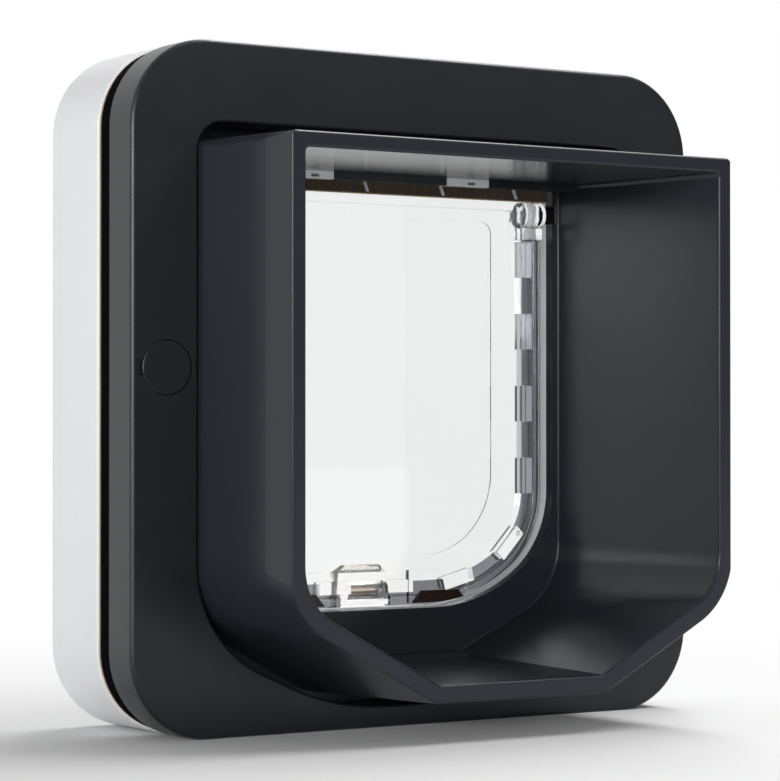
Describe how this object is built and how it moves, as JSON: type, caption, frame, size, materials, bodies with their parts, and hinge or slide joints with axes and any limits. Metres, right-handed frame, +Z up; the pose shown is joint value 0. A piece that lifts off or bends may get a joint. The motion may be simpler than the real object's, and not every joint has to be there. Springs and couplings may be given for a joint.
{
  "type": "cat flap",
  "caption": "Chip-reading cat flap for a door: dark outer frame and tunnel, clear swinging flap with soft edge seals, white indoor housing with battery lids and push buttons",
  "frame": {"origin": "centre of the square outline, on the plane where the door is clamped between the two foam seals", "axes": "+X to the right seen from the street, -Y out to the street, +Y into the room, +Z up"},
  "size_m": [0.21, 0.1082, 0.21],
  "materials": {
    "dark_plastic": "fine satin moulded plastic, dark grey",
    "tunnel_plastic": "smooth moulded plastic, dark grey, soft gloss inside",
    "white_plastic": "smooth white moulded plastic",
    "black_foam": "matt closed-cell foam",
    "plated_steel": "zinc plated",
    "brass": "turned",
    "grey_plastic": "plain moulded plastic",
    "brown_pile": "dense short pile",
    "window_plastic": "clear moulded plastic",
    "black_plastic": "matt",
    "copper_winding": "enamelled wire",
    "board": "green solder mask",
    "lamp_lens": "frosted clear plastic",
    "cell_jacket": "plain printed sleeve",
    "solenoid_steel": "folded plated steel",
    "magnet": "nickel plated",
    "clear_plastic": "clear polished plastic",
    "clear_seal": "soft translucent elastomer",
    "catch_plastic": "dark brown engineering plastic",
    "button_plastic": "satin grey"
  },
  "bodies": {
    "unit": {"outer_frame": "dark_plastic", "tunnel_body": "tunnel_plastic", "flap_surround": "white_plastic", "indoor_housing": "white_plastic", "outer_seal": "black_foam", "inner_seal": "black_foam", "screw_cover_left": "dark_plastic", "screw_cover_right": "dark_plastic", "fixing_screw_left": "plated_steel", "fixing_screw_right": "plated_steel", "screw_insert_left": "brass", "screw_insert_right": "brass", "housing_screws": "plated_steel", "hinge_bearing_left": "black_plastic", "hinge_bearing_right": "black_plastic", "draught_brush": "brown_pile", "brush_clips": "clear_plastic", "sensor_window_left": "window_plastic", "sensor_window_right": "window_plastic", "proximity_sensor_left": "black_plastic", "proximity_sensor_right": "black_plastic", "antenna_coil": "copper_winding", "circuit_board": "board", "control_chip": "black_plastic", "board_capacitors": "plated_steel", "tact_switches": "black_plastic", "indicator_led": "lamp_lens", "indicator_lens": "lamp_lens", "board_screws": "plated_steel", "battery_tray_left": "grey_plastic", "battery_tray_right": "grey_plastic", "battery_contacts_left": "plated_steel", "battery_contacts_right": "plated_steel", "battery_1": "cell_jacket", "battery_2": "cell_jacket", "battery_3": "cell_jacket", "battery_4": "cell_jacket", "entry_solenoid": "solenoid_steel", "exit_solenoid": "solenoid_steel", "sill_magnet": "magnet"},
    "flap": {"flap_pane": "clear_plastic", "flap_seal_left": "clear_seal", "flap_seal_right": "clear_seal", "flap_magnet": "magnet", "magnet_plug": "clear_seal", "catch_plate_left": "catch_plastic", "catch_plate_right": "catch_plastic"},
    "entry_finger": {"entry_latch": "catch_plastic"},
    "exit_finger": {"exit_latch": "catch_plastic"},
    "left_lid": {"battery_cover_left": "white_plastic"},
    "right_lid": {"battery_cover_right": "white_plastic"},
    "learn_key": {"learn_button": "button_plastic"},
    "settings_key": {"settings_button": "button_plastic"}
  },
  "joints": [
    {"name": "flap_swing", "type": "hinge", "parent": "unit", "child": "flap", "pos_m": [0, 0.0187, 0.06], "axis": [1, 0, 0], "range_deg": [-85, 85]},
    {"name": "entry_latch_lift", "type": "slide", "parent": "unit", "child": "entry_finger", "axis": [0, 0, 1], "range_m": [0, 0.0055]},
    {"name": "exit_latch_lift", "type": "slide", "parent": "unit", "child": "exit_finger", "axis": [0, 0, 1], "range_m": [0, 0.0055]},
    {"name": "battery_cover_left_pull", "type": "slide", "parent": "unit", "child": "left_lid", "axis": [0, 1, 0], "range_m": [0, 0.04]},
    {"name": "battery_cover_right_pull", "type": "slide", "parent": "unit", "child": "right_lid", "axis": [0, 1, 0], "range_m": [0, 0.04]},
    {"name": "learn_button_press", "type": "slide", "parent": "unit", "child": "learn_key", "axis": [0, -1, 0], "range_m": [0, 0.001], "stiffness_N_per_m": 600},
    {"name": "settings_button_press", "type": "slide", "parent": "unit", "child": "settings_key", "axis": [0, -1, 0], "range_m": [0, 0.001], "stiffness_N_per_m": 600}
  ]
}
